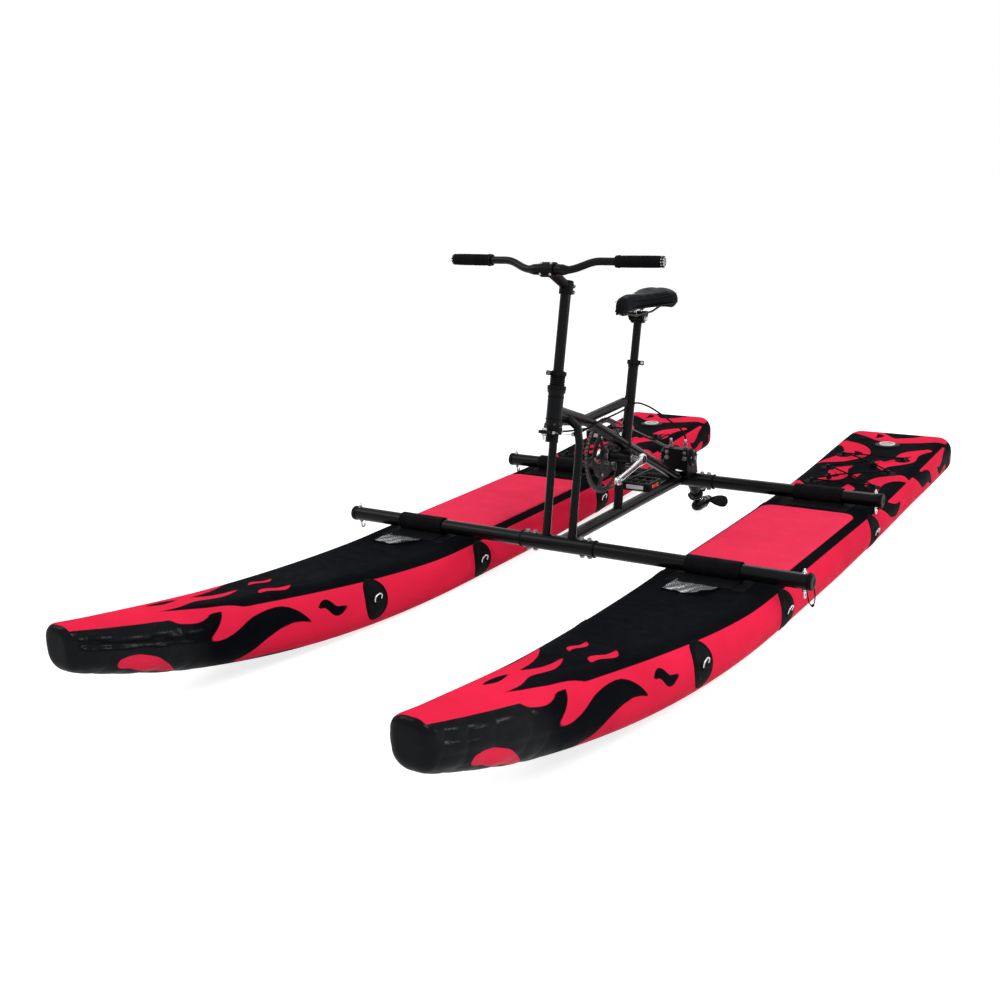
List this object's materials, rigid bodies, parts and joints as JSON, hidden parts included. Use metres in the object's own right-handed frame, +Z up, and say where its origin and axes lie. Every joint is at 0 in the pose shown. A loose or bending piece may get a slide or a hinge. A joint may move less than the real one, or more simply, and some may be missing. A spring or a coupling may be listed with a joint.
{
  "type": "pontoon water bike",
  "caption": "Pedal boat: a bicycle frame with handlebar, saddle and cranks on two cross bars over twin inflatable pontoons, driving a raked propeller leg",
  "frame": {"origin": "middle of the footprint, on the surface that the pontoons rest on", "axes": "+X to the rider's left, -Y to the bow, +Z up"},
  "size_m": [1.59, 3.3, 1.048],
  "materials": {
    "pontoon": "PVC-coated drop-stitch fabric, red with black painted ends, satin",
    "tunnel": "black coated webbing, welded seams",
    "black_alloy": "black anodised tube, satin",
    "cast_alloy": "black painted casting, satin",
    "polished_alloy": "polished silver",
    "steel": "stainless, brushed",
    "chain_steel": "oiled dark steel",
    "plastic": "black moulded nylon",
    "rubber": "black rubber, ribbed",
    "saddle_cover": "black soft synthetic cover"
  },
  "bodies": {
    "frame": {"pontoon_left": "pontoon", "pontoon_right": "pontoon", "bar_tunnel_front_left": "tunnel", "front_bar_left": "black_alloy", "hook_bolt_front_left": "steel", "bar_tunnel_front_right": "tunnel", "front_bar_right": "black_alloy", "hook_bolt_front_right": "steel", "bar_tunnel_rear_left": "tunnel", "rear_bar_left": "black_alloy", "hook_bolt_rear_left": "steel", "bar_tunnel_rear_right": "tunnel", "rear_bar_right": "black_alloy", "hook_bolt_rear_right": "steel", "front_sleeve": "black_alloy", "rear_sleeve": "black_alloy", "keel_beam": "black_alloy", "head_tube": "black_alloy", "lower_headset_cup": "black_alloy", "upper_headset_cup": "black_alloy", "seat_tube": "black_alloy", "frame_spine": "black_alloy", "rear_stay": "black_alloy", "leg_left": "black_alloy", "leg_right": "black_alloy", "bracket_shell": "black_alloy", "lower_post": "black_alloy", "seat_collar": "cast_alloy", "drive_housing": "cast_alloy", "chain": "chain_steel", "steering_cable_left": "plastic", "steering_cable_right": "plastic"},
    "steering_head": {"steering_column": "cast_alloy", "headset_spacers": "cast_alloy", "post_collar": "cast_alloy"},
    "handlepost": {"handlepost": "black_alloy", "stem": "cast_alloy", "stem_faceplate": "cast_alloy", "handlebar": "black_alloy", "grip_left": "rubber", "grip_right": "rubber"},
    "post_lever": {"post_lever": "steel"},
    "seatpost": {"seatpost": "black_alloy"},
    "saddle": {"saddle_rails": "steel", "saddle": "saddle_cover"},
    "seat_lever": {"seat_lever": "steel"},
    "crankset": {"bracket_axle": "steel", "crank_left": "polished_alloy", "crank_right": "polished_alloy", "chainring": "cast_alloy"},
    "pedal_left": {"pedal_left": "plastic"},
    "pedal_right": {"pedal_right": "plastic"},
    "cross_shaft": {"cross_shaft": "steel", "rear_sprocket": "steel"},
    "leg_yoke": {"leg_yoke": "cast_alloy"},
    "leg_sleeve": {"leg_sleeve": "black_alloy"},
    "leg_tube": {"leg_tube": "black_alloy"},
    "leg_shaft": {"leg_shaft": "steel"},
    "propeller": {"propeller": "cast_alloy"}
  },
  "joints": [
    {"name": "steering", "type": "hinge", "parent": "frame", "child": "steering_head", "pos_m": [0, -0.234, 0.549], "axis": [0, 0.2368, 0.9715], "range_deg": [-40, 40]},
    {"name": "handlepost_height", "type": "slide", "parent": "steering_head", "child": "handlepost", "axis": [0, 0.2368, 0.9715], "range_m": [-0.08, 0.05]},
    {"name": "post_clamp_lever", "type": "hinge", "parent": "steering_head", "child": "post_lever", "pos_m": [-0.01949, -0.22397, 0.70085], "axis": [0, 0.2368, 0.9715], "range_deg": [-110, 0]},
    {"name": "saddle_height", "type": "slide", "parent": "frame", "child": "seatpost", "axis": [0, 0.2351, 0.972], "range_m": [-0.09, 0.05]},
    {"name": "saddle_tilt", "type": "hinge", "parent": "seatpost", "child": "saddle", "pos_m": [0, 0.32446, 0.79819], "axis": [1, 0, 0], "range_deg": [-12, 12]},
    {"name": "seat_clamp_lever", "type": "hinge", "parent": "frame", "child": "seat_lever", "pos_m": [0.02232, 0.30797, 0.64888], "axis": [0, 0.2351, 0.972], "range_deg": [-110, 0]},
    {"name": "crank_spin", "type": "hinge", "parent": "frame", "child": "crankset", "pos_m": [0, 0.197, 0.362], "axis": [1, 0, 0], "continuous": true},
    {"name": "pedal_left_spin", "type": "hinge", "parent": "crankset", "child": "pedal_left", "pos_m": [0, 0.02767, 0.32909], "axis": [1, 0, 0], "continuous": true},
    {"name": "pedal_right_spin", "type": "hinge", "parent": "crankset", "child": "pedal_right", "pos_m": [0, 0.36633, 0.39492], "axis": [1, 0, 0], "continuous": true},
    {"name": "cross_shaft_spin", "type": "hinge", "parent": "frame", "child": "cross_shaft", "pos_m": [0, 0.655, 0.262], "axis": [1, 0, 0], "continuous": true},
    {"name": "leg_kick_up", "type": "hinge", "parent": "frame", "child": "leg_yoke", "pos_m": [0, 0.655, 0.262], "axis": [1, 0, 0], "range_deg": [0, 75]},
    {"name": "leg_shaft_spin", "type": "hinge", "parent": "leg_yoke", "child": "leg_shaft", "pos_m": [0, 0.655, 0.262], "axis": [0, -0.6293, 0.7771], "continuous": true},
    {"name": "leg_steer", "type": "hinge", "parent": "leg_yoke", "child": "leg_sleeve", "pos_m": [0, 0.655, 0.262], "axis": [0, -0.6293, 0.7771], "range_deg": [-30, 30]},
    {"name": "leg_depth", "type": "slide", "parent": "leg_sleeve", "child": "leg_tube", "axis": [0, 0.6293, -0.7771], "range_m": [0, 0.14]},
    {"name": "propeller_spin", "type": "hinge", "parent": "leg_tube", "child": "propeller", "pos_m": [0, 0.83121, 0.0444], "axis": [0, 1, 0], "continuous": true}
  ],
  "couplings": [
    {"joint": "cross_shaft_spin", "follows": "crank_spin", "ratio": 3.75},
    {"joint": "leg_shaft_spin", "follows": "crank_spin", "ratio": 3.75},
    {"joint": "propeller_spin", "follows": "crank_spin", "ratio": 7.5},
    {"joint": "leg_steer", "follows": "steering", "ratio": -0.75}
  ]
}
